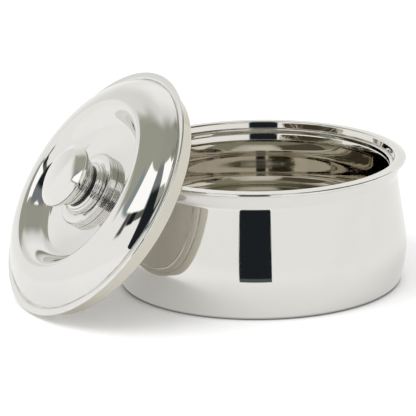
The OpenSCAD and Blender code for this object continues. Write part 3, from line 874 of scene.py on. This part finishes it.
# %% Directions in the studio
# Azimuth 0 is straight away from the camera, negative to its left, and -180 is behind it.
world = bpy.data.worlds.new("studio")
bpy.context.scene.world = world
world.use_nodes = True
tree = world.node_tree
look = add(tree, "TexCoord").outputs["Generated"]
level_ahead = (-level_right.y, level_right.x, 0)
across = add(tree, "VectorMath", {0: look, 1: tuple(level_right)}, operation="DOT_PRODUCT").outputs["Value"]
deep_in = add(tree, "VectorMath", {0: look, 1: level_ahead}, operation="DOT_PRODUCT").outputs["Value"]
climb = add(tree, "VectorMath", {0: look, 1: (0, 0, 1)}, operation="DOT_PRODUCT").outputs["Value"]
azimuth = calc(tree, "WRAP", calc(tree, "DEGREES", calc(tree, "ARCTAN2", across, deep_in)), 130.0, -230.0)
elevation = calc(tree, "DEGREES", calc(tree, "ARCSINE", climb))
print("directions:", len(tree.nodes), "nodes")

# %% Cards of the studio
paper = shade(0.99, 0.988, 0.98)
cards = (
    # name, (left, right, softness), (low, high, softness), colour
    ("dull room on the right", (36, 152, 14), (-95, 66, 14), shade(0.13, 0.12, 0.09)),
    ("olive room on the left", (-130, -40, 14), (12, 84, 18), shade(0.38, 0.385, 0.325)),
    ("blue-grey pane", (-113, -94, 5), (30, 52, 7), shade(0.27, 0.32, 0.345)),
    ("paper all round", (-260, 160, 1), (-95, 23.5, 4), paper),
    ("paper on the left, near the camera", (-161, -84, 4), (-95, 32, 3), paper),
    ("paper on the left", (-92, -64, 8), (-95, 27.5, 5), paper),
    ("paper on the left, far end", (-72, -40, 8), (-95, 22.5, 5), paper),
    ("pale wall behind, low", (-50, 42, 5), (14, 42, 15), shade(0.84, 0.84, 0.825)),
    ("pale wall behind, high", (-46, 40, 24), (30, 74, 18), shade(0.82, 0.82, 0.8)),
    ("bright sheet on the wall", (-22, 28, 26), (18, 60, 26), shade(1.02, 1.02, 1.02)),
    ("window by the camera", (-159, -110, 2), (34.5, 62.5, 2), shade(1.25, 1.25, 1.25)),
    ("window right of the camera", (-222, -189, 3), (46, 67, 3), shade(1.25, 1.25, 1.25)),
    ("dark sill", (-163, -120, 3), (27.5, 34.5, 2), shade(0.12, 0.12, 0.11)),
    ("darker thing on the sill", (-144, -131, 3), (26, 35, 2), shade(0.012, 0.014, 0.016)),
    ("thing left of the sill", (-130, -120, 4), (20, 33, 5), shade(0.1, 0.1, 0.095)),
    ("top of the gap", (-188, -161, 3), (38, 68, 10), shade(0.21, 0.225, 0.245)),
    ("dark gap", (-187.5, -162.5, 1.4), (-30, 48, 8), shade(0.014, 0.018, 0.022)),
)
sky = shade(0.37, 0.37, 0.32)
for name, across_span, up_span, tint in cards:
    card = tree.nodes.new("ShaderNodeGroup")
    card.node_tree, card.label = studio_card, name
    keys = ("Left", "Right", "Soft across", "Low", "High", "Soft up")
    for key, value in zip(keys, across_span + up_span):
        card.inputs[key].default_value = value
    tree.links.new(azimuth, card.inputs["Azimuth"])
    tree.links.new(elevation, card.inputs["Elevation"])
    sky = blend(tree, card.outputs["Mask"], sky, tint)
rays = add(tree, "LightPath").outputs
plain_level = shade(0.84, 0.84, 0.84)
seen = blend(tree, rays["Is Glossy Ray"], plain_level, sky)
seen = blend(tree, rays["Is Camera Ray"], seen, shade(1, 1, 1))
background = tree.nodes["Background"]
tree.links.new(seen, background.inputs["Color"])
print("cards in the room:", len(cards))

# %% [markdown]
# ## The floor
# The table is white paper. It is diffuse paper, which keeps the soft shadow, with a little
# plain white added for the camera, so that it reads as the photograph's overexposed ground.
# Under the belly that added white is cut back almost to nothing, which is painted shade.
# Far from the pot the steel sees it as even paper of the same level as the cards, or the
# edge of the lamp's light would show in the wall; near the pot it sees the true shading,
# which gives the foot of the wall its weight. The dark line under the pot is a painted
# shadow: a thin dark ring in the paper's colour under the wall's round corner, where in
# life no light is mirrored in. The steel sees that ring too. In front of the pot lies the
# foot of the dark gap of the room, which only the steel can see.

# %% Floor and foot of the gap
def flat_stage(name, corners, height):
    mesh = bpy.data.meshes.new(name)
    mesh.from_pydata([(x, y, height) for x, y in corners], [], [tuple(range(len(corners)))])
    piece = bpy.data.objects.new(name, mesh)
    bpy.context.scene.collection.objects.link(piece)
    return piece


floor_reach = 7
# All three in metres from the pot's axis: where the painted shade under the belly ends,
# where the painted shadow ring under the round corner ends, and where the steel starts to
# see even paper.
lit_from, lit_to = 0.097, 0.108
thin_from, thin_to = 0.0985, 0.1025
even_from, even_to = 0.11, 0.9
round_it = [a * math.pi / 32 for a in range(64)]
floor = flat_stage("floor", [(floor_reach * math.cos(a), floor_reach * math.sin(a)) for a in round_it], 0)
floor_paper = bpy.data.materials.new("floor_paper")
floor_paper.use_nodes = True
tree = floor_paper.node_tree
tree.nodes.clear()
rays = add(tree, "LightPath").outputs
spot = add(tree, "TexCoord").outputs["Object"]
from_axis = add(tree, "VectorMath", {0: spot}, operation="LENGTH").outputs["Value"]
# painted shade: under the belly less white is added for the camera
direct = calc(tree, "MULTIPLY", rays["Is Camera Ray"], step(tree, from_axis, lit_from, lit_to, 0.02, 0.2))
grain = cloud(tree, spot, 900.0, 2.0)
tint = blend(tree, grain, shade(0.94, 0.94, 0.94), shade(0.96, 0.96, 0.955))
# painted shadow: a thin dark ring in the paper's colour under the wall's round corner
tint = blend(tree, step(tree, from_axis, thin_from, thin_to), shade(0.12, 0.12, 0.115), tint)
paper_face = add(tree, "BsdfDiffuse", {"Color": tint})
glow = add(tree, "Emission", {"Color": shade(1, 1, 1), "Strength": direct})
both = add(tree, "AddShader", {0: paper_face.outputs[0], 1: glow.outputs[0]})
far_paper = add(tree, "Emission", {"Color": paper, "Strength": 1.0})
evenness = step(tree, from_axis, even_from, even_to, 0.35, 1.0)
mostly_even = calc(tree, "MULTIPLY", rays["Is Glossy Ray"], evenness)
face = add(tree, "MixShader", {0: mostly_even, 1: both.outputs[0], 2: far_paper.outputs[0]})
add(tree, "OutputMaterial", {"Surface": face.outputs[0]})
floor.data.materials.append(floor_paper)


def at(azimuth_deg, distance, start):
    """A table point at an azimuth and distance, in metres, from a start point."""
    a = math.radians(azimuth_deg)
    way = level_right * math.sin(a) + Vector(level_ahead) * math.cos(a)
    return tuple((start + way * distance).xy)


front = -Vector(level_ahead) * lip_r * MM
left_start, right_start = front + level_right * -0.016, front + level_right * 0.006
left_way, right_way, above_floor = 197.5, 172.5, 0.0004
# Each step of the strip: from and to, in metres out from the pot, and its colour.
gap_steps = ((0.11, 0.2, shade(0.085, 0.1, 0.104)), (0.2, 7.5, shade(0.014, 0.018, 0.022)))
for number, (start, end, tint) in enumerate(gap_steps):
    corners = [at(left_way, start, left_start), at(left_way, end, left_start),
               at(right_way, end, right_start), at(right_way, start, right_start)]
    strip = flat_stage(f"gap_foot_{number}", corners, above_floor)
    dark = bpy.data.materials.new(f"gap_foot_{number}")
    dark.use_nodes = True
    dark.node_tree.nodes.clear()
    face = add(dark.node_tree, "Emission", {"Color": tint, "Strength": 1.0})
    add(dark.node_tree, "OutputMaterial", {"Surface": face.outputs[0]})
    strip.data.materials.append(dark)
    for kind in ("camera", "diffuse", "shadow", "transmission"):
        setattr(strip, "visible_" + kind, False)

# %% [markdown]
# ## The lamp
# One wide lamp hangs above the pot, to its left and on the camera's side. It adds about a
# fifth to the plain level of the world, which is enough to give the shadow a direction.
# The steel doesn't see it, because all that the steel mirrors is the room of cards.

# %% Lamp
lamp_data = bpy.data.lights.new("soft_lamp", "AREA")
lamp_data.shape, lamp_data.size, lamp_data.energy = "DISK", 1.4, 14.0
lamp = bpy.data.objects.new("soft_lamp", lamp_data)
bpy.context.scene.collection.objects.link(lamp)
to_the_left, toward_camera, overhead = 0.9, 0.7, 1.7
lamp_at = aim - level_right * to_the_left - Vector(level_ahead) * toward_camera + Vector((0, 0, overhead))
lamp.location = lamp_at
lamp.rotation_mode = "QUATERNION"
lamp.rotation_quaternion = (aim - lamp_at).to_track_quat("-Z", "Y")
lamp.visible_glossy = False
print("lamp", round((aim - lamp_at).length, 2), "m away")
